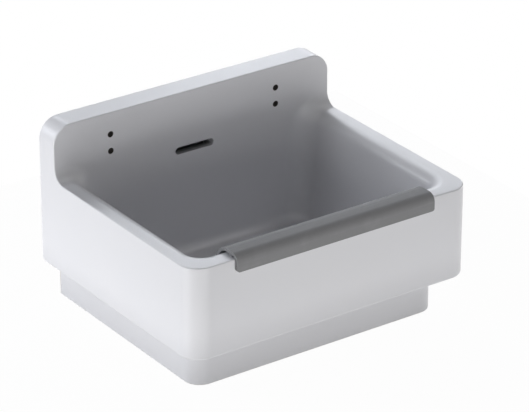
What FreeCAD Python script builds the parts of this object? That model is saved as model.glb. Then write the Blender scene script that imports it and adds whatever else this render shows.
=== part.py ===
import FreeCAD, Part
import math
import os

import Sketcher
from FreeCAD import Vector

# Wall-hung service sink. X runs to the right, Y back into the wall and Z up. Every piece is drawn from
# the underside of the foot and the wall's face, and placed so that the origin is the middle of the four
# wall screws, on the wall's face.

# Driving sizes in millimetres and degrees, as they go into the sheet.
SIZES = {
    # fired basin, outside
    "basin_width": 500.0,
    "basin_depth": 404.0,
    "splash_top": 300.0,
    "rim_level": 213.0,
    "apron_bottom": 66.7,
    "splash_thickness": 42.0,
    "foot_side_inset": 31.0,
    "foot_front_inset": 40.3,
    "apron_corner_radius": 32.0,
    "foot_corner_radius": 27.0,
    "splash_corner_radius": 32.0,
    "apron_heel_radius": 10.0,
    "rim_outer_radius": 2.0,
    "lower_edge_radius": 3.0,
    "foot_edge_chamfer": 0.8,
    # bowl
    "side_wall": 35.5,
    "front_wall": 39.0,
    "bowl_draft": 6.3,
    "floor_level": 33.0,
    "bowl_corner_radius": 20.0,
    "rim_inner_radius": 21.0,
    "splash_sweep_radius": 22.0,
    "bowl_back_radius": 33.0,
    "floor_radius": 18.0,
    # hollow apron
    "apron_wall": 14.0,
    "apron_hollow_inset": 5.0,
    "apron_hollow_top": 180.0,
    "apron_hollow_rear": 50.0,
    "apron_hollow_taper": 1.5,
    # hollow underside of the foot
    "foot_wall": 14.0,
    "foot_hollow": 15.0,
    "foot_hollow_radius": 11.0,
    "foot_hollow_rear": 44.0,
    "waste_boss_radius": 50.0,
    # hollow back
    "back_hollow_depth": 24.0,
    "back_hollow_bottom": 20.0,
    "back_hollow_step": 82.0,
    "back_frame_width": 16.0,
    "back_hollow_radius": 12.0,
    "middle_rib_width": 96.0,
    # lugs that hook over the wall hangers
    "lug_width": 60.0,
    "lug_top": 258.0,
    "lug_thickness": 14.0,
    "lug_lip_thickness": 12.0,
    "lug_wall_gap": 5.0,
    # overflow
    "overflow_length": 70.0,
    "overflow_height": 11.8,
    "overflow_level": 204.7,
    "duct_width": 72.0,
    "duct_depth": 14.0,
    "duct_rear_wall": 14.0,
    "duct_top": 213.0,
    "duct_bottom": 8.0,
    "passage_width": 50.0,
    "passage_height": 14.0,
    # holes for the hinges of a bucket grate
    "hinge_hole_span": 301.0,
    "hinge_hole_pitch": 27.3,
    "hinge_hole_level": 250.7,
    "hinge_hole_diameter": 10.0,
    # waste
    "waste_from_wall": 170.0,
    "waste_hole_radius": 30.0,
    "flange_recess_radius": 44.0,
    "flange_recess": 4.0,
    "flange_radius": 43.0,
    "flange_thickness": 2.0,
    "cup_radius": 27.0,
    "cup_wall": 2.0,
    "cup_depth": 10.5,
    "tail_radius": 23.9,
    "thread_drop": 17.0,
    "spigot_radius": 21.5,
    "spigot_wall": 1.6,
    "tail_drop": 45.0,
    "window_width": 16.0,
    "window_height": 12.0,
    "window_level": 12.0,
    "seal_inner_radius": 31.0,
    "thread_clearance": 0.1,
    "lower_seal_radius": 40.0,
    "lower_seal_thickness": 3.0,
    "slip_washer_radius": 39.0,
    "slip_washer_thickness": 1.5,
    "nut_flats": 60.0,
    "nut_height": 9.0,
    # lift-out strainer
    "strainer_thickness": 1.5,
    "strainer_clearance": 0.4,
    "strainer_lip": 4.0,
    "strainer_slot_width": 4.0,
    "strainer_slot_inner": 8.0,
    "strainer_slot_outer": 20.0,
    "knob_radius": 6.0,
    "knob_thickness": 3.5,
    "knob_chamfer": 1.2,
    "knob_stem_radius": 3.0,
    "knob_stem": 3.5,
    "knob_shank_radius": 2.0,
    "shank_clearance": 0.05,
    "rivet_radius": 3.6,
    "rivet_height": 1.2,
    # push-on edge guard
    "guard_length": 351.0,
    "guard_wall": 4.5,
    "guard_front_gap": 2.0,
    "guard_top_gap": 3.2,
    "guard_front_radius": 13.5,
    "guard_back_radius": 28.0,
    "guard_back_centre": 21.0,
    "guard_front_drop": 19.0,
    "guard_back_drop": 29.0,
    "guard_bead": 3.0,
    "guard_rib_inset": 8.0,
    "guard_rib": 5.0,
    "guard_seat_clearance": 0.3,
    "guard_corner_radius": 4.0,
    # wall hangers
    "hanger_span": 190.0,
    "hanger_width": 50.0,
    "hanger_steel": 4.0,
    "hanger_drop": 40.0,
    "hanger_bend": 2.0,
    "hook_rise": 12.0,
    "hook_gap": 1.5,
    "screw_hole_radius": 4.5,
    "screw_level": 186.0,
    "screw_pitch": 40.0,
    "pad_thickness": 1.5,
    "pad_clearance": 0.2,
    "pad_rise": 6.0,
}

# what repeats round the waste's axis
STRAINER_SLOTS = 6
OVERFLOW_WINDOWS = 4

# the basin up to its sweep, which another body carries on from
BLANK = "basin_blank"

doc = FreeCAD.newDocument("service_sink")
sheet = doc.addObject("Spreadsheet::Sheet", "Sizes")
for row, (alias, number) in enumerate(SIZES.items(), start=1):
    sheet.set("A%d" % row, alias)
    sheet.set("B%d" % row, str(number))
    sheet.setAlias("B%d" % row, alias)
doc.recompute()


class Size:
    """A length worked out from the sheet: its number now, and the text that ties a feature to it."""

    def __init__(self, number, text):
        self.number = number
        self.text = text

    def __add__(self, other):
        other = as_size(other)
        return Size(self.number + other.number, "(%s + %s)" % (self.text, other.text))

    def __sub__(self, other):
        other = as_size(other)
        return Size(self.number - other.number, "(%s - %s)" % (self.text, other.text))

    def __mul__(self, factor):
        return Size(self.number * factor, "(%s * %r)" % (self.text, factor))

    def __truediv__(self, divisor):
        return Size(self.number / divisor, "(%s / %r)" % (self.text, divisor))

    def __neg__(self):
        return Size(-self.number, "(-%s)" % self.text)


def as_size(value):
    if isinstance(value, Size):
        return value
    return Size(float(value), repr(float(value)))


def cell(alias):
    """The sheet's size of this name."""
    return Size(float(getattr(sheet, alias)), "Sizes." + alias)


def bind(feature, name, size):
    """Tie one property of a feature to the sheet."""
    feature.setExpression(name, as_size(size).text)


def new_body(label, x=0.0, y=0.0):
    """A body of its own, with its origin on the wall's face and level with the wall screws."""
    body = doc.addObject("PartDesign::Body", label)
    body.Label = label
    bind(body, "Placement.Base.x", x)
    bind(body, "Placement.Base.y", y)
    bind(body, "Placement.Base.z", -cell("screw_level"))
    return body


def new_sketch(body, name, plane, offset=0.0):
    """A sketch on one of the body's own planes, moved along that plane's normal."""
    sketch = body.newObject("Sketcher::SketchObject", name)
    for feature in body.Origin.OriginFeatures:
        if feature.Role == plane:
            sketch.AttachmentSupport = (feature, "")
    sketch.MapMode = "FlatFace"
    bind(sketch, "AttachmentOffset.Base.z", offset)
    return sketch


def fix_coordinate(sketch, kind, element, point, size):
    """Dimension one coordinate of a point from the sketch's origin."""
    size = as_size(size)
    if abs(size.number) < 1e-9:
        axis = -2 if kind == "DistanceX" else -1
        sketch.addConstraint(Sketcher.Constraint("PointOnObject", element, point, axis))
        return
    index = sketch.addConstraint(Sketcher.Constraint(kind, -1, 1, element, point, size.number))
    sketch.setExpression("Constraints[%d]" % index, size.text)


def fix_point(sketch, element, point, across, up):
    fix_coordinate(sketch, "DistanceX", element, point, across)
    fix_coordinate(sketch, "DistanceY", element, point, up)


def draw_polygon(sketch, corners):
    """A closed outline of straight lines through (across, up) corners."""
    places = []
    for across, up in corners:
        places.append(Vector(as_size(across).number, as_size(up).number, 0.0))
    first = sketch.GeometryCount
    count = len(places)
    for number in range(count):
        sketch.addGeometry(Part.LineSegment(places[number], places[(number + 1) % count]), False)
    for number in range(count):
        following = (number + 1) % count
        sketch.addConstraint(Sketcher.Constraint("Coincident", first + number, 2, first + following, 1))
    for number, (across, up) in enumerate(corners):
        fix_point(sketch, first + number, 1, across, up)


def draw_box(sketch, left, right, low, high):
    draw_polygon(sketch, [(left, low), (right, low), (right, high), (left, high)])


def draw_circle(sketch, across, up, radius):
    """A circle with its centre and radius dimensioned."""
    radius = as_size(radius)
    centre = Vector(as_size(across).number, as_size(up).number, 0.0)
    index = sketch.addGeometry(Part.Circle(centre, Vector(0, 0, 1), radius.number), False)
    fix_point(sketch, index, 3, across, up)
    constraint = sketch.addConstraint(Sketcher.Constraint("Radius", index, radius.number))
    sketch.setExpression("Constraints[%d]" % constraint, radius.text)


def draw_path(sketch, steps):
    """A closed outline of lines and arcs. Each step is the point it starts at, and for an arc also the
    arc's centre and whether it turns anticlockwise; a plain point starts a line."""
    first = sketch.GeometryCount
    count = len(steps)
    starts = []
    ends = []
    for number, step in enumerate(steps):
        start = step[0]
        stop = steps[(number + 1) % count][0]
        here = Vector(as_size(start[0]).number, as_size(start[1]).number, 0.0)
        there = Vector(as_size(stop[0]).number, as_size(stop[1]).number, 0.0)
        if len(step) == 1:
            sketch.addGeometry(Part.LineSegment(here, there), False)
            starts.append(1)
            ends.append(2)
            continue
        centre = Vector(as_size(step[1][0]).number, as_size(step[1][1]).number, 0.0)
        anticlockwise = step[2]
        from_here = math.atan2(here.y - centre.y, here.x - centre.x)
        to_there = math.atan2(there.y - centre.y, there.x - centre.x)
        circle = Part.Circle(centre, Vector(0, 0, 1), (here - centre).Length)
        if anticlockwise:
            sketch.addGeometry(Part.ArcOfCircle(circle, from_here, to_there), False)
            starts.append(1)
            ends.append(2)
        else:
            sketch.addGeometry(Part.ArcOfCircle(circle, to_there, from_here), False)
            starts.append(2)
            ends.append(1)
    for number in range(count):
        following = (number + 1) % count
        meeting = (first + number, ends[number], first + following, starts[following])
        sketch.addConstraint(Sketcher.Constraint("Coincident", *meeting))
    for number, step in enumerate(steps):
        fix_point(sketch, first + number, starts[number], step[0][0], step[0][1])
        if len(step) == 1:
            continue
        # both ends of the arc are fixed, so one coordinate of its centre settles its radius
        stop = steps[(number + 1) % count][0]
        if near(as_size(step[0][1]).number, stop[1]):
            fix_coordinate(sketch, "DistanceY", first + number, 3, step[1][1])
        else:
            fix_coordinate(sketch, "DistanceX", first + number, 3, step[1][0])


def pad(body, sketch, length, both_ways=False, backwards=False, taper=None):
    feature = body.newObject("PartDesign::Pad", "Pad_" + sketch.Name)
    feature.Profile = sketch
    finish_extrusion(feature, length, both_ways, backwards, taper)
    return feature


def pocket(body, sketch, length, both_ways=False, backwards=False, taper=None):
    """A cut that has to remove something: a pocket that points away from the solid is an error."""
    before = body.Tip.Shape.Volume
    feature = body.newObject("PartDesign::Pocket", "Pocket_" + sketch.Name)
    feature.Profile = sketch
    finish_extrusion(feature, length, both_ways, backwards, taper)
    if feature.Shape.Volume > before - 1.0:
        raise RuntimeError(feature.Name + " cuts nothing")
    return feature


def finish_extrusion(feature, length, both_ways, backwards, taper):
    bind(feature, "Length", length)
    if both_ways:
        feature.SideType = "Symmetric"
    feature.Reversed = backwards
    if taper is not None:
        bind(feature, "TaperAngle", taper)
    doc.recompute()


def edges_where(feature, test):
    """Names of the feature's edges whose two ends and middle all pass a test."""
    names = []
    for number, edge in enumerate(feature.Shape.Edges, start=1):
        if not edge.Vertexes:
            continue
        middle = edge.valueAt((edge.FirstParameter + edge.LastParameter) / 2.0)
        places = [edge.Vertexes[0].Point, edge.Vertexes[-1].Point, middle]
        if all(test(place) for place in places):
            names.append("Edge%d" % number)
    return names


def smooth_run(feature, seed):
    """The edge named seed and every edge that follows on from it without a corner."""
    shape = feature.Shape
    found = [seed]
    waiting = [seed]
    while waiting:
        here = shape.getElement(waiting.pop())
        for number, edge in enumerate(shape.Edges, start=1):
            name = "Edge%d" % number
            if name in found:
                continue
            if any(
                (here.valueAt(one) - edge.valueAt(two)).Length < 1e-4
                and abs(here.tangentAt(one).dot(edge.tangentAt(two))) > 0.9999
                for one in (here.FirstParameter, here.LastParameter)
                for two in (edge.FirstParameter, edge.LastParameter)
            ):
                found.append(name)
                waiting.append(name)
    return found


def fillet(body, name, edges, radius):
    """Round some edges of the body's last feature."""
    return dress(body, "Fillet", name, edges, "Radius", radius)


def chamfer(body, name, edges, size):
    """Bevel some edges of the body's last feature."""
    return dress(body, "Chamfer", name, edges, "Size", size)


def dress(body, kind, name, edges, dimension, size):
    """Work some edges of the body's last feature; the solid has to change."""
    base = body.Tip
    if not edges:
        raise RuntimeError(name + " found no edges")
    before = base.Shape.Volume
    feature = body.newObject("PartDesign::" + kind, name)
    feature.Base = (base, edges)
    bind(feature, dimension, size)
    doc.recompute()
    if abs(feature.Shape.Volume - before) < 1e-3:
        raise RuntimeError(name + " changes nothing")
    return feature


def revolve(body, sketch):
    """The whole ring or disc that a half section makes about the body's upright axis."""
    feature = body.newObject("PartDesign::Revolution", "Ring_" + sketch.Name)
    feature.Profile = sketch
    feature.ReferenceAxis = (sketch, ["V_Axis"])
    feature.Angle = 360.0
    doc.recompute()
    return feature


def repeat_round(body, original, count):
    """The same cut repeated evenly round the body's upright axis."""
    before = body.Tip.Shape.Volume
    feature = body.newObject("PartDesign::PolarPattern", "Round_" + original.Name)
    feature.Originals = [original]
    for axis in body.Origin.OriginFeatures:
        if axis.Role == "Z_Axis":
            feature.Axis = (axis, [""])
    feature.Angle = 360.0
    feature.Occurrences = count
    doc.recompute()
    body.Tip = feature
    if feature.Shape.Volume > before - 1.0:
        raise RuntimeError(feature.Name + " cuts nothing")
    return feature


def near(value, size, slack=0.01):
    return abs(value - as_size(size).number) < slack


def ring(label, x, y, inner, outer, low, thickness):
    """A flat washer lying level."""
    body = new_body(label, x, y)
    outline = new_sketch(body, label + "_outline", "XY_Plane", low)
    draw_circle(outline, 0.0, 0.0, outer)
    draw_circle(outline, 0.0, 0.0, inner)
    pad(body, outline, thickness)
    return body


# Levels and faces that several pieces share.
HALF_WIDTH = cell("basin_width") / 2
FRONT = -cell("basin_depth")
SPLASH_FACE = -cell("splash_thickness")
RIM = cell("rim_level")
FLOOR = cell("floor_level")
BOWL_LEAN = math.tan(math.radians(SIZES["bowl_draft"]))
BOWL_FRONT = FRONT + cell("front_wall")
WASTE_Y = -cell("waste_from_wall")
SKIN = -cell("back_hollow_depth")
LUG_UNDERSIDE = cell("lug_top") - cell("lug_thickness")
LIP_FRONT = -(cell("lug_wall_gap") + cell("lug_lip_thickness"))
HOOK_FRONT = SKIN + cell("hook_gap")
HANGER_TOP = cell("screw_level") + cell("screw_pitch")
LIP_BOTTOM = HANGER_TOP + cell("pad_thickness")
FLANGE_BOTTOM = FLOOR - cell("flange_thickness")
SHOULDER = FLOOR - cell("cup_depth")


def make_basin():
    """The fired basin: bowl, splashback, hollow apron, foot, hanging lugs and overflow duct."""
    blank = doc.addObject("PartDesign::Body", BLANK)
    make_basin_outside(blank)
    sweep = round_corners(blank)
    body = widen_sweep(blank, sweep)
    round_edges(body)
    hollow_basin(body)
    make_lugs(body)
    make_overflow(body)
    make_holes(body)
    return body


def make_basin_outside(body):
    """Apron, splashback and foot, with the bowl cut out of them."""
    apron_bottom = cell("apron_bottom")
    profile = new_sketch(body, "side_profile", "YZ_Plane")
    draw_polygon(
        profile,
        [
            (0.0, apron_bottom),
            (0.0, cell("splash_top")),
            (SPLASH_FACE, cell("splash_top")),
            (SPLASH_FACE, RIM),
            (FRONT, RIM),
            (FRONT, apron_bottom),
        ],
    )
    pad(body, profile, cell("basin_width"), both_ways=True)

    # the foot is set in at the sides and the front, and stands flush with the wall
    foot_front = FRONT + cell("foot_front_inset")
    foot = new_sketch(body, "foot_profile", "YZ_Plane")
    draw_box(foot, foot_front, 0.0, 0.0, apron_bottom)
    pad(body, foot, cell("basin_width") - cell("foot_side_inset") * 2, both_ways=True)

    # the bowl runs straight down from the splashback's face; its other walls lean in
    bowl_half = HALF_WIDTH - cell("side_wall")
    lean = (RIM - FLOOR) * BOWL_LEAN
    section = new_sketch(body, "bowl_section", "XZ_Plane", cell("splash_thickness"))
    draw_polygon(
        section,
        [
            (-bowl_half, RIM),
            (lean - bowl_half, FLOOR),
            (bowl_half - lean, FLOOR),
            (bowl_half, RIM),
        ],
    )
    pocket(body, section, SPLASH_FACE - BOWL_FRONT, backwards=True)
    slope = new_sketch(body, "bowl_front_slope", "YZ_Plane")
    draw_polygon(
        slope,
        [
            (BOWL_FRONT, RIM),
            (BOWL_FRONT, apron_bottom),
            (foot_front, apron_bottom),
            (foot_front, FLOOR),
            (BOWL_FRONT + lean, FLOOR),
        ],
    )
    pad(body, slope, bowl_half * 2, both_ways=True)


def round_corners(body):
    """The upright corners and the rim's inner edge. Returns the edges that the sweep goes along."""
    half = HALF_WIDTH.number
    front = FRONT.number
    rim = RIM.number
    floor = FLOOR.number
    foot_half = HALF_WIDTH - cell("foot_side_inset")
    foot_front = FRONT + cell("foot_front_inset")
    bowl_half = half - SIZES["side_wall"]

    corners = edges_where(body.Tip, lambda p: near(abs(p.x), half) and near(p.y, front))
    fillet(body, "apron_corners", corners, cell("apron_corner_radius"))
    corners = edges_where(body.Tip, lambda p: near(abs(p.x), foot_half) and near(p.y, foot_front))
    fillet(body, "foot_corners", corners, cell("foot_corner_radius"))
    corners = edges_where(body.Tip, lambda p: near(abs(p.x), half) and near(p.z, cell("splash_top")))
    fillet(body, "splash_corners", corners, cell("splash_corner_radius"))

    def in_bowl_corner(p):
        slant = (rim - p.z) * BOWL_LEAN
        on_side = near(abs(p.x), bowl_half - slant, 0.05)
        return on_side and near(p.y, BOWL_FRONT.number + slant, 0.05)

    corners = edges_where(body.Tip, in_bowl_corner)
    fillet(body, "bowl_front_corners", corners, cell("bowl_corner_radius"))

    mouth = edges_where(
        body.Tip,
        lambda p: near(p.z, rim)
        and abs(p.x) < bowl_half + 0.1
        and BOWL_FRONT.number - 0.1 < p.y < SPLASH_FACE.number + 0.1,
    )
    fillet(body, "rim_inner_edge", mouth, cell("rim_inner_radius"))
    return edges_where(
        body.Tip,
        lambda p: near(p.y, SPLASH_FACE, 0.1)
        and floor - 0.1 < p.z < rim + 0.1
        and abs(p.x) > bowl_half * 0.8,
    )


def widen_sweep(blank, sweep):
    """The run of rounding from the splashback's line with the rim into the bowl's rear corners. It widens
    on its way round the rim's inner edge. The body that it makes carries on from the blank."""
    narrow = cell("splash_sweep_radius").number
    wide = cell("bowl_back_radius").number
    radii = []
    for name in sweep:
        edge = blank.Tip.Shape.getElement(name)
        levels = [edge.valueAt(edge.FirstParameter).z, edge.valueAt(edge.LastParameter).z]
        if edge.Orientation == "Reversed":
            levels.reverse()
        first, last = [narrow if near(level, RIM) else wide for level in levels]
        radii.append((int(name.replace("Edge", "")), first, last))
    rounded = doc.addObject("Part::Fillet", "bowl_back_sweep")
    rounded.Base = blank
    rounded.Edges = radii
    doc.recompute()
    body = new_body("basin")
    body.BaseFeature = rounded
    doc.recompute()
    return body


def round_edges(body):
    """The bowl's floor, the outer run and the lower edges."""
    foot_half = HALF_WIDTH - cell("foot_side_inset")
    foot_front = FRONT + cell("foot_front_inset")
    floor_edges = edges_where(body.Tip, lambda p: near(p.z, FLOOR, 0.1))
    fillet(body, "floor_edge", floor_edges, cell("floor_radius"))

    # one run over the rim, up the sweep and over the splashback
    rim_front = edges_where(body.Tip, lambda p: near(p.z, RIM) and near(p.y, FRONT))
    fillet(body, "outer_edge", smooth_run(body.Tip, rim_front[0]), cell("rim_outer_radius"))
    foot_edge = edges_where(body.Tip, lambda p: near(p.z, 0.0) and near(p.y, foot_front))
    chamfer(body, "foot_edge", smooth_run(body.Tip, foot_edge[0]), cell("foot_edge_chamfer"))

    # the apron's heel is rounded on both sides of the foot, then its lower edge up to the splashback
    heel = cell("apron_heel_radius")
    apron_bottom = cell("apron_bottom")
    for side, name in ((1, "right"), (-1, "left")):
        spandrel = new_sketch(body, "apron_heel_" + name, "YZ_Plane", foot_half * side)
        draw_path(
            spandrel,
            [
                [(0.0, apron_bottom)],
                [(0.0, apron_bottom + heel), (-heel, apron_bottom + heel), False],
                [(-heel, apron_bottom)],
            ],
        )
        pocket(body, spandrel, cell("foot_side_inset") + 1.0, backwards=side > 0)
    lower_edge = edges_where(body.Tip, lambda p: near(p.z, apron_bottom) and near(p.y, FRONT))
    fillet(body, "lower_edge", smooth_run(body.Tip, lower_edge[0]), cell("lower_edge_radius"))


def hollow_basin(body):
    """Hollows that keep the fired wall even: the apron, the foot's underside and the back."""
    foot_half = HALF_WIDTH - cell("foot_side_inset")
    foot_front = FRONT + cell("foot_front_inset")
    apron_bottom = cell("apron_bottom")
    rear = -cell("apron_hollow_rear")
    outer_x = HALF_WIDTH - cell("apron_wall")
    outer_y = FRONT + cell("apron_wall")
    inner_x = foot_half + cell("apron_hollow_inset")
    inner_y = foot_front - cell("apron_hollow_inset")
    outer_r = cell("apron_corner_radius") - cell("apron_wall")
    inner_r = cell("foot_corner_radius") + cell("apron_hollow_inset")
    groove = new_sketch(body, "apron_groove", "XY_Plane", apron_bottom)
    draw_path(
        groove,
        [
            [(-outer_x, rear)],
            [(-outer_x, outer_y + outer_r), (outer_r - outer_x, outer_y + outer_r), True],
            [(outer_r - outer_x, outer_y)],
            [(outer_x - outer_r, outer_y), (outer_x - outer_r, outer_y + outer_r), True],
            [(outer_x, outer_y + outer_r)],
            [(outer_x, rear)],
            [(inner_x, rear)],
            [(inner_x, inner_y + inner_r), (inner_x - inner_r, inner_y + inner_r), False],
            [(inner_x - inner_r, inner_y)],
            [(inner_r - inner_x, inner_y), (inner_r - inner_x, inner_y + inner_r), False],
            [(-inner_x, inner_y + inner_r)],
            [(-inner_x, rear)],
        ],
    )
    pocket(
        body,
        groove,
        cell("apron_hollow_top") - apron_bottom,
        backwards=True,
        taper=-cell("apron_hollow_taper"),
    )

    # the hollow under the foot goes round the waste's boss and the ridge that holds the overflow passage
    side_x = foot_half - cell("foot_wall")
    front_y = foot_front + cell("foot_wall")
    rear_y = -cell("foot_hollow_rear")
    corner = cell("foot_hollow_radius")
    ridge = cell("waste_boss_radius") * 0.8
    meeting = WASTE_Y + cell("waste_boss_radius") * 0.6
    under = new_sketch(body, "foot_hollow_outline", "XY_Plane")
    draw_path(
        under,
        [
            [(-side_x, rear_y)],
            [(-side_x, front_y + corner), (corner - side_x, front_y + corner), True],
            [(corner - side_x, front_y)],
            [(side_x - corner, front_y), (side_x - corner, front_y + corner), True],
            [(side_x, front_y + corner)],
            [(side_x, rear_y)],
            [(ridge, rear_y)],
            [(ridge, meeting), (0.0, WASTE_Y), False],
            [(-ridge, meeting)],
            [(-ridge, rear_y)],
        ],
    )
    pocket(body, under, cell("foot_hollow"), backwards=True)

    # two hollows in the back, one on each side of the middle rib
    rib = cell("middle_rib_width") / 2
    low = cell("back_hollow_bottom")
    step = cell("back_hollow_step")
    top = cell("splash_top") - cell("back_frame_width")
    wide = HALF_WIDTH - cell("back_frame_width")
    narrow = foot_half - cell("back_frame_width")
    back = new_sketch(body, "back_hollows", "XZ_Plane")
    for side in (1, -1):
        draw_polygon(
            back,
            [
                (rib * side, low),
                (narrow * side, low),
                (narrow * side, step),
                (wide * side, step),
                (wide * side, top),
                (rib * side, top),
            ],
        )
    pocket(body, back, cell("back_hollow_depth"), backwards=True)
    along_y = edges_where(
        body.Tip,
        lambda p: SKIN.number - 0.1 < p.y < 0.1
        and near(p.z, low, 0.1)
        or SKIN.number - 0.1 < p.y < 0.1
        and near(p.z, top, 0.1),
    )
    upright = []
    for name in along_y:
        edge = body.Tip.Shape.getElement(name)
        if abs(edge.tangentAt(edge.FirstParameter).y) > 0.99:
            upright.append(name)
    fillet(body, "back_hollow_corners", upright, cell("back_hollow_radius"))


def make_lugs(body):
    """Two lugs in the hollow back, each with a lip that drops behind a wall hanger's hook."""
    lug_rear = -cell("lug_wall_gap")
    for side in (1, -1):
        middle = cell("hanger_span") / 2 * side
        hook = new_sketch(body, "lug_" + ("right" if side > 0 else "left"), "YZ_Plane", middle)
        draw_polygon(
            hook,
            [
                (SKIN, LUG_UNDERSIDE),
                (SKIN, cell("lug_top")),
                (lug_rear, cell("lug_top")),
                (lug_rear, LIP_BOTTOM),
                (LIP_FRONT, LIP_BOTTOM),
                (LIP_FRONT, LUG_UNDERSIDE),
            ],
        )
        pad(body, hook, cell("lug_width"), both_ways=True)


def make_overflow(body):
    """The slot in the bowl's back, the duct behind it and the passage under the floor."""
    duct_rear = -cell("duct_rear_wall")
    duct_front = duct_rear - cell("duct_depth")
    duct_half = cell("duct_width") / 2
    duct = new_sketch(body, "overflow_duct", "XY_Plane", cell("duct_top"))
    draw_box(duct, -duct_half, duct_half, duct_front, duct_rear)
    pocket(body, duct, cell("duct_top") - cell("duct_bottom"))

    passage_half = cell("passage_width") / 2
    passage = new_sketch(body, "overflow_passage", "XZ_Plane", cell("duct_rear_wall"))
    passage_low = cell("duct_bottom")
    draw_box(passage, -passage_half, passage_half, passage_low, passage_low + cell("passage_height"))
    passage_end = cell("waste_from_wall") - cell("waste_hole_radius") / 2
    pocket(body, passage, passage_end - cell("duct_rear_wall"), backwards=True)

    radius = cell("overflow_height") / 2
    straight = cell("overflow_length") / 2 - radius
    level = cell("overflow_level")
    slot = new_sketch(body, "overflow_slot", "XZ_Plane", cell("splash_thickness"))
    draw_path(
        slot,
        [
            [(-straight, level - radius)],
            [(straight, level - radius), (straight, level), True],
            [(straight, level + radius)],
            [(-straight, level + radius), (-straight, level), True],
        ],
    )
    pocket(body, slot, cell("splash_thickness") - cell("duct_rear_wall"))


def make_holes(body):
    """The waste's hole and seat, and the four holes for a grate's hinges."""
    seat = new_sketch(body, "waste_seat", "XY_Plane", FLOOR)
    draw_circle(seat, 0.0, WASTE_Y, cell("flange_recess_radius"))
    pocket(body, seat, cell("flange_recess"))
    hole = new_sketch(body, "waste_hole", "XY_Plane", FLOOR)
    draw_circle(hole, 0.0, WASTE_Y, cell("waste_hole_radius"))
    pocket(body, hole, FLOOR + 1.0)

    hinges = new_sketch(body, "hinge_holes", "XZ_Plane", cell("splash_thickness"))
    for side in (1, -1):
        for row in (1, -1):
            across = cell("hinge_hole_span") / 2 * side
            up = cell("hinge_hole_level") + cell("hinge_hole_pitch") / 2 * row
            draw_circle(hinges, across, up, cell("hinge_hole_diameter") / 2)
    pocket(body, hinges, cell("splash_thickness") - cell("back_hollow_depth"))


def make_edge_guard():
    """A bent strip that pushes over the front of the rim, on one rib and two beads."""
    body = new_body("edge_guard")
    wall = cell("guard_wall")
    top = RIM + cell("guard_top_gap") + wall
    under_top = RIM + cell("guard_top_gap")
    face = FRONT - cell("guard_front_gap") - wall
    inner_face = FRONT - cell("guard_front_gap")
    radius = cell("guard_front_radius")
    back_radius = cell("guard_back_radius")
    back_centre = FRONT + cell("guard_back_centre")
    front_low = RIM - cell("guard_front_drop")
    back_low = RIM - cell("guard_back_drop")
    bead = cell("guard_bead")
    front_bead = FRONT - cell("guard_seat_clearance")
    back_bead = BOWL_FRONT + (RIM - back_low) * BOWL_LEAN + cell("guard_seat_clearance")
    back_face = back_centre + back_radius
    back_inner = back_face - wall
    rib_front = FRONT + cell("guard_rib_inset")
    rib_back = rib_front + cell("guard_rib")

    profile = new_sketch(body, "guard_profile", "YZ_Plane")
    draw_path(
        profile,
        [
            [(face, front_low)],
            [(face, top - radius), (face + radius, top - radius), False],
            [(face + radius, top)],
            [(back_centre, top), (back_centre, top - back_radius), False],
            [(back_face, top - back_radius)],
            [(back_face, back_low)],
            [(back_bead, back_low)],
            [(back_bead, back_low + bead)],
            [(back_inner, back_low + bead * 2)],
            [(back_inner, top - back_radius), (back_centre, top - back_radius), True],
            [(back_centre, under_top)],
            [(rib_back, under_top)],
            [(rib_back, RIM)],
            [(rib_front, RIM)],
            [(face + radius, under_top), (face + radius, top - radius), True],
            [(inner_face, top - radius)],
            [(inner_face, front_low + bead * 2)],
            [(front_bead, front_low + bead)],
            [(front_bead, front_low)],
        ],
    )
    pad(body, profile, cell("guard_length"), both_ways=True)
    half = SIZES["guard_length"] / 2.0
    corners = edges_where(
        body.Tip,
        lambda p: near(abs(p.x), half) and near(p.z, front_low) and p.y < front_bead.number + 0.01,
    )
    corners += edges_where(
        body.Tip,
        lambda p: near(abs(p.x), half) and near(p.z, back_low) and p.y > back_bead.number - 0.01,
    )
    fillet(body, "guard_corners", corners, cell("guard_corner_radius"))
    return body


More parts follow.
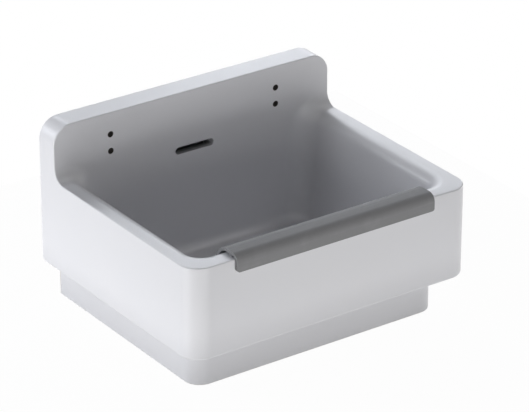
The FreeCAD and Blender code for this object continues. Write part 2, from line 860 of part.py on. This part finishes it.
def make_waste():
    """The slotted waste, its seals and the nut that draws it down onto the bowl's floor. Below the
    thread the tail narrows to a plain spigot, which the trap's joint slides over."""
    body = new_body("waste_body", 0.0, WASTE_Y)
    cup = cell("cup_radius")
    cup_outside = cup + cell("cup_wall")
    tail = cell("tail_radius")
    spigot = cell("spigot_radius")
    bore = spigot - cell("spigot_wall")
    thread_low = -cell("thread_drop")
    section = new_sketch(body, "waste_section", "XZ_Plane")
    draw_polygon(
        section,
        [
            (cup, FLOOR),
            (cell("flange_radius"), FLOOR),
            (cell("flange_radius"), FLANGE_BOTTOM),
            (cup_outside, FLANGE_BOTTOM),
            (cup_outside, SHOULDER - cell("cup_wall")),
            (tail, SHOULDER - cell("cup_wall")),
            (tail, thread_low),
            (spigot, thread_low - (tail - spigot)),
            (spigot, -cell("tail_drop")),
            (bore, -cell("tail_drop")),
            (bore, SHOULDER),
            (cup, SHOULDER),
        ],
    )
    revolve(body, section)
    window = new_sketch(body, "overflow_window", "YZ_Plane")
    half = cell("window_width") / 2
    low = cell("window_level") - cell("window_height") / 2
    draw_box(window, -half, half, low, low + cell("window_height"))
    cut = pocket(body, window, tail + 1.0)
    repeat_round(body, cut, OVERFLOW_WINDOWS)

    seal_level = FLANGE_BOTTOM - (cell("flange_recess") - cell("flange_thickness"))
    ring(
        "waste_upper_seal",
        0.0,
        WASTE_Y,
        cell("seal_inner_radius"),
        cell("flange_radius"),
        seal_level,
        FLANGE_BOTTOM - seal_level,
    )
    threaded = tail + cell("thread_clearance")
    seal = cell("lower_seal_thickness")
    ring("waste_lower_seal", 0.0, WASTE_Y, threaded, cell("lower_seal_radius"), -seal, seal)
    slip_low = -(seal + cell("slip_washer_thickness"))
    slip_thickness = cell("slip_washer_thickness")
    ring("slip_washer", 0.0, WASTE_Y, threaded, cell("slip_washer_radius"), slip_low, slip_thickness)

    nut = new_body("back_nut", 0.0, WASTE_Y)
    hexagon = new_sketch(nut, "nut_hexagon", "XY_Plane", slip_low - cell("nut_height"))
    flat = cell("nut_flats") / 2
    short = flat * math.tan(math.radians(30.0))
    point = short * 2
    draw_polygon(
        hexagon,
        [(flat, -short), (flat, short), (0.0, point), (-flat, short), (-flat, -short), (0.0, -point)],
    )
    draw_circle(hexagon, 0.0, 0.0, threaded)
    pad(nut, hexagon, cell("nut_height"))


def make_strainer():
    """A slotted plate with a turned-up edge that lies on the waste's shoulder, and its knob."""
    plate = new_body("strainer_plate", 0.0, WASTE_Y)
    top = SHOULDER + cell("strainer_thickness")
    outer = cell("cup_radius") - cell("strainer_clearance")
    hole = cell("knob_shank_radius") + cell("shank_clearance")
    section = new_sketch(plate, "strainer_section", "XZ_Plane")
    draw_polygon(
        section,
        [
            (hole, SHOULDER),
            (outer, SHOULDER),
            (outer, top + cell("strainer_lip")),
            (outer - cell("strainer_thickness"), top + cell("strainer_lip")),
            (outer - cell("strainer_thickness"), top),
            (hole, top),
        ],
    )
    revolve(plate, section)
    radius = cell("strainer_slot_width") / 2
    near_end = cell("strainer_slot_inner") + radius
    far_end = cell("strainer_slot_outer") - radius
    slot = new_sketch(plate, "strainer_slot", "XY_Plane", top)
    draw_path(
        slot,
        [
            [(near_end, -radius)],
            [(far_end, -radius), (far_end, 0.0), True],
            [(far_end, radius)],
            [(near_end, radius), (near_end, 0.0), True],
        ],
    )
    cut = pocket(plate, slot, cell("strainer_thickness"))
    repeat_round(plate, cut, STRAINER_SLOTS)

    knob = new_body("strainer_knob", 0.0, WASTE_Y)
    shank = cell("knob_shank_radius")
    stem = cell("knob_stem_radius")
    rivet = cell("rivet_radius")
    knob_low = top + cell("knob_stem")
    knob_top = knob_low + cell("knob_thickness")
    chamfer = cell("knob_chamfer")
    turned = new_sketch(knob, "knob_section", "XZ_Plane")
    draw_polygon(
        turned,
        [
            (0.0, SHOULDER - cell("rivet_height")),
            (rivet, SHOULDER - cell("rivet_height")),
            (rivet, SHOULDER),
            (shank, SHOULDER),
            (shank, top),
            (stem, top),
            (stem, knob_low),
            (cell("knob_radius"), knob_low),
            (cell("knob_radius"), knob_top - chamfer),
            (cell("knob_radius") - chamfer, knob_top),
            (0.0, knob_top),
        ],
    )
    revolve(knob, turned)


def make_hanger(side, label, pad_label):
    """A bent steel hook screwed to the wall, and the rubber liner the lug's lip sits on."""
    middle = cell("hanger_span") / 2 * side
    steel = cell("hanger_steel")
    bend = cell("hanger_bend")
    outer_bend = bend + steel
    low = cell("screw_level") - cell("hanger_drop")
    shelf_low = HANGER_TOP - steel
    hook_rear = HOOK_FRONT + steel
    hook_top = HANGER_TOP + cell("hook_rise")

    body = new_body(label, middle)
    profile = new_sketch(body, label + "_profile", "YZ_Plane")
    draw_path(
        profile,
        [
            [(0.0, low)],
            [(0.0, HANGER_TOP - outer_bend), (-outer_bend, HANGER_TOP - outer_bend), True],
            [(-outer_bend, HANGER_TOP)],
            [(hook_rear + bend, HANGER_TOP), (hook_rear + bend, HANGER_TOP + bend), False],
            [(hook_rear, HANGER_TOP + bend)],
            [(hook_rear, hook_top)],
            [(HOOK_FRONT, hook_top)],
            [(HOOK_FRONT, HANGER_TOP + bend), (HOOK_FRONT + outer_bend, HANGER_TOP + bend), True],
            [(HOOK_FRONT + outer_bend, shelf_low)],
            [(-outer_bend, shelf_low), (-outer_bend, HANGER_TOP - outer_bend), False],
            [(-steel, HANGER_TOP - outer_bend)],
            [(-steel, low)],
        ],
    )
    pad(body, profile, cell("hanger_width"), both_ways=True)
    screws = new_sketch(body, label + "_screw_holes", "XZ_Plane")
    for row in (1, -1):
        up = cell("screw_level") + cell("screw_pitch") / 2 * row
        draw_circle(screws, 0.0, up, cell("screw_hole_radius"))
    pocket(body, screws, steel, backwards=True)
    half = cell("hanger_width") / 2
    lower_corners = edges_where(body.Tip, lambda p: near(p.z, low) and near(abs(p.x), half))
    fillet(body, label + "_corners", lower_corners, outer_bend)

    # the liner lies on the shelf and turns up the hook
    liner = new_body(pad_label, middle)
    thick = cell("pad_thickness")
    upright = thick - cell("pad_clearance")
    rear = -cell("lug_wall_gap") - bend
    liner_profile = new_sketch(liner, pad_label + "_profile", "YZ_Plane")
    draw_path(
        liner_profile,
        [
            [(rear, HANGER_TOP)],
            [(rear, HANGER_TOP + thick)],
            [(hook_rear + upright, HANGER_TOP + thick)],
            [(hook_rear + upright, HANGER_TOP + cell("pad_rise"))],
            [(hook_rear, HANGER_TOP + cell("pad_rise"))],
            [(hook_rear, HANGER_TOP + bend), (hook_rear + bend, HANGER_TOP + bend), True],
            [(hook_rear + bend, HANGER_TOP)],
        ],
    )
    pad(liner, liner_profile, cell("hanger_width"), both_ways=True)


make_basin()
make_edge_guard()
make_waste()
make_strainer()
make_hanger(-1, "hanger_left", "hanger_pad_left")
make_hanger(1, "hanger_right", "hanger_pad_right")
doc.recompute()

for item in doc.Objects:
    if "Invalid" in item.State or "Error" in item.State:
        raise RuntimeError("%s did not build: %s" % (item.Name, item.State))

os.makedirs("parts", exist_ok=True)
for item in doc.Objects:
    if item.TypeId != "PartDesign::Body" or item.Label == BLANK:
        continue
    if item.Shape.isNull() or not item.Shape.isValid() or len(item.Shape.Solids) != 1:
        raise RuntimeError(item.Label + " is not one sound solid")
    item.Shape.exportStep("parts/%s.step" % item.Label)
    print(item.Label, round(item.Shape.Volume / 1000.0, 1), "cm3")
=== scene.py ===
import math

import bpy
from mathutils import Matrix, Vector


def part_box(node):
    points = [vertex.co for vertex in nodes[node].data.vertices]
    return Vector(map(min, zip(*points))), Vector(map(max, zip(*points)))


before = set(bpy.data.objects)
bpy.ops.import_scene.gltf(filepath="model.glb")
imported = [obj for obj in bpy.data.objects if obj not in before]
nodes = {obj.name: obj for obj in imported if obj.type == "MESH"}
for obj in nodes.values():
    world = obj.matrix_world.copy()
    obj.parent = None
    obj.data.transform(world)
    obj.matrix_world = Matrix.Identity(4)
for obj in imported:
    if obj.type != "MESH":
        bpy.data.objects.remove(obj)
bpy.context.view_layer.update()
print("frame loaded:", len(nodes), "nodes")

# the camera that a fit to the outline in the photograph gives, in metres
cameraView = {
    "place": (-2.5102, -3.7832, 2.1027),
    "right": (0.81753, -0.57589, 0.00208),
    "up": (0.2498, 0.35787, 0.89974),
    "lens": 222.154,
    "shift": (-0.00058, 0.00029),
    "sensor": 36.0,
    "farEnd": 60.0,
}


def placeCamera(view):
    data = bpy.data.cameras.new("photoCamera")
    data.lens = view["lens"]
    data.shift_x, data.shift_y = view["shift"]
    data.sensor_width = view["sensor"]
    data.clip_end = view["farEnd"]
    camera = bpy.data.objects.new("photoCamera", data)
    bpy.context.scene.collection.objects.link(camera)
    right = Vector(view["right"]).normalized()
    up = Vector(view["up"]).normalized()
    turn = Matrix((right, up, right.cross(up))).transposed().to_4x4()
    camera.matrix_world = Matrix.Translation(view["place"]) @ turn
    bpy.context.scene.camera = camera


placeCamera(cameraView)
print("camera placed")


class Wire:  # a socket that can be added, multiplied and compared like a number
    def __init__(self, tree, socket):
        self.tree = tree
        self.socket = socket

    def join(self, operation, *values):
        node = self.tree.nodes.new("ShaderNodeMath")
        node.operation = operation
        for slot, value in zip(node.inputs, values):
            if isinstance(value, Wire):
                self.tree.links.new(value.socket, slot)
            else:
                slot.default_value = value
        return Wire(self.tree, node.outputs[0])

    def __add__(self, other):
        return self.join("ADD", self, other)

    def __sub__(self, other):
        return self.join("SUBTRACT", self, other)

    def __rsub__(self, other):
        return self.join("SUBTRACT", other, self)

    def __mul__(self, other):
        return self.join("MULTIPLY", self, other)

    def __pow__(self, other):
        return self.join("POWER", self, other)

    def __gt__(self, other):
        return self.join("GREATER_THAN", self, other)

    def __lt__(self, other):
        return self.join("LESS_THAN", self, other)

    def __abs__(self):
        return self.join("ABSOLUTE", self)

    __radd__ = __add__
    __rmul__ = __mul__


class Finish:  # one material, its shader and the nodes that feed it
    def __init__(self, name, **uniform):
        self.material = bpy.data.materials.new(name)
        self.material.use_nodes = True
        self.tree = self.material.node_tree
        self.tree.nodes.clear()
        self.output = self.tree.nodes.new("ShaderNodeOutputMaterial")
        self.shader = self.tree.nodes.new("ShaderNodeBsdfPrincipled")
        self.tree.links.new(self.shader.outputs[0], self.output.inputs["Surface"])
        for label, value in uniform.items():
            self.shader.inputs[label.replace("_", " ")].default_value = value

    def node(self, kind, settings, values, out=0):
        node = self.tree.nodes.new(kind)
        for name, value in settings.items():
            setattr(node, name, value)
        for name, value in values.items():
            if isinstance(value, Wire):
                self.tree.links.new(value.socket, node.inputs[name])
            else:
                node.inputs[name].default_value = value
        return Wire(self.tree, node.outputs[out])

    def place(self, centre=(0.0, 0.0, 0.0), stretch=(1.0, 1.0, 1.0)):
        where = self.node("ShaderNodeTexCoord", {}, {}, "Object")
        shift = [-middle * scale for middle, scale in zip(centre, stretch)]
        return self.node("ShaderNodeMapping", {}, {"Vector": where, "Location": shift, "Scale": stretch})

    def axes(self, where):
        split = self.node("ShaderNodeSeparateXYZ", {}, {"Vector": where})
        return [Wire(self.tree, socket) for socket in split.socket.node.outputs]

    def noise(self, where, scale, detail=3.0, roughness=0.5):
        values = {"Vector": where, "Scale": scale, "Detail": detail, "Roughness": roughness}
        return self.node("ShaderNodeTexNoise", {}, values)

    def ease(self, value, low, high):  # 0 below low, 1 above high, smooth between
        values = {"Value": value, "From Min": low, "From Max": high}
        return self.node("ShaderNodeMapRange", {"interpolation_type": "SMOOTHSTEP"}, values)

    def blend(self, mask, first, second):  # 6 and 7 are the Mix node's colour slots, and 2 its colour out
        values = {0: mask}
        for slot, colour in ((6, first), (7, second)):
            values[slot] = colour if isinstance(colour, Wire) else (*colour, 1.0)
        return self.node("ShaderNodeMix", {"data_type": "RGBA"}, values, 2)

    def bump(self, height):  # a height in metres
        values = {"Height": height, "Distance": 1.0, "Strength": 1.0}
        self.feed("Normal", self.node("ShaderNodeBump", {}, values))

    def feed(self, label, wire):
        self.tree.links.new(wire.socket, self.shader.inputs[label])

    def giveTo(self, *names):
        for name in names:
            mesh = nodes[name].data
            mesh.materials.clear()
            mesh.materials.append(self.material)


# glazed fireclay, bare where the kiln's shelf, the wall and the hollow back were, with painted shade in
# the hinge holes and the overflow slot
glaze = {
    "colour": (0.742, 0.738, 0.755),
    "pooled": (0.726, 0.727, 0.752),  # where the glaze lies thicker
    "cloudScale": 7.0,
    "roughness": 0.42,
    "roughnessSpread": 0.08,
    "coat": 0.22,
    "coatRoughness": 0.17,
    "smearScale": 14.0,
    "peelScale": 170.0,  # the slight orange peel of a sprayed glaze
    "peelDepth": 0.00006,
    "waveScale": 16.0,
    "waveDepth": 0.0008,
    "bare": (0.60, 0.55, 0.47),  # the unglazed body
    "bareDark": (0.47, 0.42, 0.35),
    "bareRoughness": 0.9,
    "grainScale": 900.0,
    "grainEdges": (0.35, 0.75),
    "grainDepth": 0.0004,
    "wallSkin": (0.0012, 0.0003),  # the glaze stops between these distances from the wall
    "footSkin": (0.0012, 0.0004),  # and between these above the foot's underside
    "hollowDepth": 0.0245,
    "hollowSides": (0.0475, 0.2345),
    "hollowLevels": (-0.1665, -0.1035, 0.0985),  # bottom, step and top
    "narrowSide": 0.2035,  # the hollow's side below its step
    "holeSpan": 0.1505,
    "holeLevel": 0.0647,
    "holePitch": 0.01365,
    "holeRadius": 0.0052,
    # painted shade: near black inside the hinge holes, where there is only shadow
    "holePaintedShade": (0.09, 0.08, 0.07),
    "splashFace": 0.0417,
    "ductSide": 0.034,
    "ductLevels": (-0.002, 0.0305),
    "ductDepths": (0.0395, 0.031),  # painted shade on the slot's wall fades in between these
    "ductBack": 0.004,
    # painted shade: dark grey inside the overflow slot, where there is only shadow
    "ductPaintedShade": (0.23, 0.235, 0.24),
}


def bareMask(finish, look, x, y, z):
    side = abs(x)
    nearSide, farSide = look["hollowSides"]
    bottom, step, top = look["hollowLevels"]
    reach = look["narrowSide"] + (z > step) * (farSide - look["narrowSide"])
    inHollow = (side > nearSide) * (reach > side) * (y > -look["hollowDepth"]) * (z > bottom) * (z < top)
    acrossHole = side - look["holeSpan"]
    upHole = abs(z - look["holeLevel"]) - look["holePitch"]
    fromHole = (acrossHole * acrossHole + upHole * upHole) ** 0.5
    inHole = (fromHole < look["holeRadius"]) * (y > -look["splashFace"])
    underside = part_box("basin")[0][2]
    onFoot = finish.ease(z, *(underside + skin for skin in look["footSkin"]))
    onWall = finish.ease(y, *(-skin for skin in look["wallSkin"]))
    return inHollow + onWall + onFoot + inHole > 0.5, inHole


# where painted shade goes inside the overflow slot, fading in away from its lip
def paintedDuctShade(finish, look, x, y, z):
    low, high = look["ductLevels"]
    inDuct = (abs(x) < look["ductSide"]) * (z > low) * (z < high) * (y < -look["ductBack"])
    return inDuct * finish.ease(y, *(-depth for depth in look["ductDepths"]))


def makeGlaze(look):
    finish = Finish("whiteGlaze", IOR=1.5, Coat_Roughness=look["coatRoughness"])
    where = finish.place()
    x, y, z = finish.axes(where)
    bare, inHole = bareMask(finish, look, x, y, z)
    cloud = finish.noise(where, look["cloudScale"], 2.0)
    grain = finish.noise(where, look["grainScale"], 4.0, 0.7)
    glazed = finish.blend(cloud, look["colour"], look["pooled"])
    # painted shade inside the overflow slot
    glazed = finish.blend(paintedDuctShade(finish, look, x, y, z), glazed, look["ductPaintedShade"])
    body = finish.blend(finish.ease(grain, *look["grainEdges"]), look["bare"], look["bareDark"])
    # painted shade inside the hinge holes
    body = finish.blend(inHole, body, look["holePaintedShade"])
    finish.feed("Base Color", finish.blend(bare, glazed, body))
    smear = finish.noise(where, look["smearScale"], 5.0, 0.6) - 0.5
    gloss = look["roughness"] + smear * look["roughnessSpread"]
    finish.feed("Roughness", gloss * (1 - bare) + bare * look["bareRoughness"])
    finish.feed("Coat Weight", (1 - bare) * look["coat"])
    peel = finish.noise(where, look["peelScale"], 2.0) * look["peelDepth"]
    wave = finish.noise(where, look["waveScale"], 1.0) * look["waveDepth"]
    finish.bump((peel + wave) * (1 - bare) + grain * bare * look["grainDepth"])
    return finish


makeGlaze(glaze).giveTo("basin")
print("glaze made")

# drawn plastic of the edge guard
guardPlastic = {
    "colour": (0.22, 0.22, 0.224),
    "worn": (0.252, 0.252, 0.257),
    "roughness": 0.66,
    "roughnessSpread": 0.12,
    "cloudScale": 22.0,
    "cloudShare": 0.7,  # how much of the rubbing follows the clouds rather than the lines
    "wornEdges": (0.45, 0.7),
    "drawStretch": (3.0, 260.0, 260.0),  # faint lines left by the die, along the strip
    "drawDepth": 0.00006,
    "grainScale": 1400.0,
    "grainDepth": 0.00003,
}


def makeGuardPlastic(look):
    finish = Finish("guardPlastic", IOR=1.46)
    where = finish.place()
    cloud = finish.noise(where, look["cloudScale"], 5.0, 0.6)
    lines = finish.noise(finish.place(stretch=look["drawStretch"]), 1.0)
    grain = finish.noise(where, look["grainScale"], 2.0)
    rubbing = cloud * look["cloudShare"] + lines * (1 - look["cloudShare"])
    rubbed = finish.ease(rubbing, *look["wornEdges"])
    finish.feed("Base Color", finish.blend(rubbed, look["colour"], look["worn"]))
    finish.feed("Roughness", look["roughness"] + (cloud - 0.5) * look["roughnessSpread"])
    finish.bump(lines * look["drawDepth"] + grain * look["grainDepth"])
    return finish


makeGuardPlastic(guardPlastic).giveTo("edge_guard")
print("guard plastic made")

# metals of the waste, the strainer and the hangers
metalBase = {  # what a metal has where its own dictionary doesn't say otherwise
    "spotScale": 40.0,
    "dulledEdges": (0.45, 0.75),
    "turnedScale": 4000.0,  # rings left by the lathe, to the metre
    "turnedDepth": 0.0,
    "turnedGloss": 0.06,
    "grainScale": 500.0,
    "grainDepth": 0.00001,
}
chrome = {
    "colour": (0.78, 0.78, 0.80),
    "dull": (0.62, 0.62, 0.63),
    "roughness": 0.09,
    "spread": 0.22,
}
brushed = {
    "colour": (0.60, 0.60, 0.61),
    "dull": (0.46, 0.46, 0.465),
    "roughness": 0.28,
    "spread": 0.2,
    "turnedDepth": 0.00002,
}
brass = {
    "colour": (0.66, 0.47, 0.2),
    "dull": (0.42, 0.29, 0.13),
    "roughness": 0.3,
    "spread": 0.25,
    "turnedDepth": 0.00004,
}
zinc = {
    "colour": (0.42, 0.43, 0.44),
    "dull": (0.3, 0.305, 0.31),
    "roughness": 0.42,
    "spread": 0.2,
    "spotScale": 90.0,
    "grainScale": 260.0,
    "grainDepth": 0.00005,
}


def makeMetal(name, metal):
    look = {**metalBase, **metal}
    finish = Finish(name, Metallic=1.0)
    lowest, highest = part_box("waste_body")
    where = finish.place((0.0, (lowest[1] + highest[1]) / 2, 0.0))
    x, y, z = finish.axes(where)
    rings = ((x * x + y * y) ** 0.5 + z) * look["turnedScale"]
    spots = finish.noise(where, look["spotScale"], 5.0, 0.6)
    grain = finish.noise(where, look["grainScale"], 2.0)
    turned = finish.node("ShaderNodeTexNoise", {"noise_dimensions": "1D"}, {"W": rings, "Scale": 1.0})
    dulled = finish.ease(spots, *look["dulledEdges"])
    finish.feed("Base Color", finish.blend(dulled, look["colour"], look["dull"]))
    finish.feed("Roughness", look["roughness"] + dulled * look["spread"] + turned * look["turnedGloss"])
    finish.bump(turned * look["turnedDepth"] + grain * look["grainDepth"])
    return finish


makeMetal("wasteChrome", chrome).giveTo("waste_body")
makeMetal("strainerSteel", brushed).giveTo("strainer_plate", "strainer_knob")
makeMetal("nutBrass", brass).giveTo("back_nut")
makeMetal("hangerZinc", zinc).giveTo("hanger_left", "hanger_right")
print("metals made")

# rubber of the seals and pads, and the slip washer's plastic
softBase = {"dustScale": 60.0, "dustEdges": (0.45, 0.8), "dustRoughness": 0.2, "grainScale": 1500.0}
rubber = {
    "colour": (0.028, 0.028, 0.03),
    "dust": (0.075, 0.073, 0.07),
    "roughness": 0.62,
    "grainDepth": 0.00004,
}
washer = {
    "colour": (0.62, 0.61, 0.57),
    "dust": (0.5, 0.49, 0.45),
    "roughness": 0.45,
    "grainDepth": 0.00002,
}


def makeSoft(name, soft):
    look = {**softBase, **soft}
    finish = Finish(name)
    where = finish.place()
    dust = finish.ease(finish.noise(where, look["dustScale"], 5.0, 0.65), *look["dustEdges"])
    grain = finish.noise(where, look["grainScale"], 2.0)
    finish.feed("Base Color", finish.blend(dust, look["colour"], look["dust"]))
    finish.feed("Roughness", look["roughness"] + dust * look["dustRoughness"])
    finish.bump(grain * look["grainDepth"])
    return finish


makeSoft("sealRubber", rubber).giveTo(
    "waste_upper_seal", "waste_lower_seal", "hanger_pad_left", "hanger_pad_right"
)
makeSoft("slipPlastic", washer).giveTo("slip_washer")
print("rubber and washer made")

# studio: soft lamps round the sink, a pale table under it and a white surround
lamps = {  # azimuth from the front towards +X and elevation in degrees, power and tint
    "frontLow": (0, -8, 31.8, "plain"),
    "front": (0, 4, 14.6, "plain"),
    "frontHigh": (0, 18, 3.8, "plain"),
    "frontTop": (0, 48, 1.8, "plain"),
    "leftLow": (270, -8, 41.0, "plain"),
    "left": (270, 4, 15.4, "plain"),
    "right": (90, 0, 18.0, "plain"),
    "backRight": (135, 18, 17.6, "cool"),
    "backLeft": (225, 18, 25.0, "cool"),
    "backHigh": (157, 38, 22.0, "cool"),
    "backLeftHigh": (240, 38, 18.4, "cool"),
    "rightTop": (90, 62, 8.6, "plain"),
}
studio = {
    "tints": {"plain": (1.0, 1.0, 1.0), "cool": (0.9, 0.935, 1.0)},
    "aim": (0.0, -0.2, -0.05),
    "lampDistance": 3.2,
    "lampSize": (1.6, 0.9),
    "floorPlace": (0.0, -0.2, -0.187),
    "floorSize": 1.16,
    "floorColour": (0.9, 0.9, 0.9, 1.0),
    "floorRoughness": 0.9,
    "white": (1.0, 1.0, 1.0, 1.0),
    "whiteShare": 0.975,  # how much of the seen floor is plain white rather than lit
    "glow": 0.28,  # the same share in the light that it sends back to the sink
}


def makeLamps(rows, settings):
    aim = Vector(settings["aim"])
    for name, (azimuth, elevation, power, tint) in rows.items():
        data = bpy.data.lights.new(name, "AREA")
        data.shape = "RECTANGLE"
        data.size, data.size_y = settings["lampSize"]
        data.energy = power
        data.color = settings["tints"][tint]
        lamp = bpy.data.objects.new(name, data)
        bpy.context.scene.collection.objects.link(lamp)
        across, up = math.radians(azimuth), math.radians(elevation)
        away = Vector((math.sin(across) * math.cos(up), -math.cos(across) * math.cos(up), math.sin(up)))
        lamp.location = aim + away * settings["lampDistance"]
        lamp.rotation_euler = away.to_track_quat("Z", "Y").to_euler()


def seenDirectly(tree):  # 1 for the camera, a mirror or glass, and 0 for the light on other surfaces
    path = tree.nodes.new("ShaderNodeLightPath")
    seen = Wire(tree, path.outputs["Is Camera Ray"])
    for label in ("Is Glossy Ray", "Is Transmission Ray"):
        seen = seen.join("MAXIMUM", seen, Wire(tree, path.outputs[label]))
    return seen


def makeWorld(settings):
    world = bpy.data.worlds.new("studioWorld")
    bpy.context.scene.world = world
    world.use_nodes = True
    tree = world.node_tree
    tree.nodes.clear()
    out = tree.nodes.new("ShaderNodeOutputWorld")
    back = tree.nodes.new("ShaderNodeBackground")
    back.inputs["Color"].default_value = settings["white"]
    tree.links.new(seenDirectly(tree).socket, back.inputs["Strength"])
    tree.links.new(back.outputs[0], out.inputs["Surface"])


def makeFloor(settings):
    bpy.ops.object.select_all(action="DESELECT")
    bpy.ops.mesh.primitive_plane_add(size=settings["floorSize"], location=settings["floorPlace"])
    floor = bpy.context.object
    floor.name = "studioFloor"
    bpy.ops.object.transform_apply(location=True, rotation=False, scale=True)
    finish = Finish("paleFloor", Base_Color=settings["floorColour"], Roughness=settings["floorRoughness"])
    white = finish.node("ShaderNodeEmission", {}, {"Color": settings["white"], "Strength": 1.0})
    seen = seenDirectly(finish.tree)
    share = seen * settings["whiteShare"] + (1 - seen) * settings["glow"]
    lit = Wire(finish.tree, finish.shader.outputs[0])
    mixed = finish.node("ShaderNodeMixShader", {}, {0: share, 1: lit, 2: white})
    finish.tree.links.new(mixed.socket, finish.output.inputs["Surface"])
    floor.data.materials.append(finish.material)


makeLamps(lamps, studio)
makeWorld(studio)
makeFloor(studio)
bpy.context.scene.view_settings.view_transform = "Standard"
print("studio made")
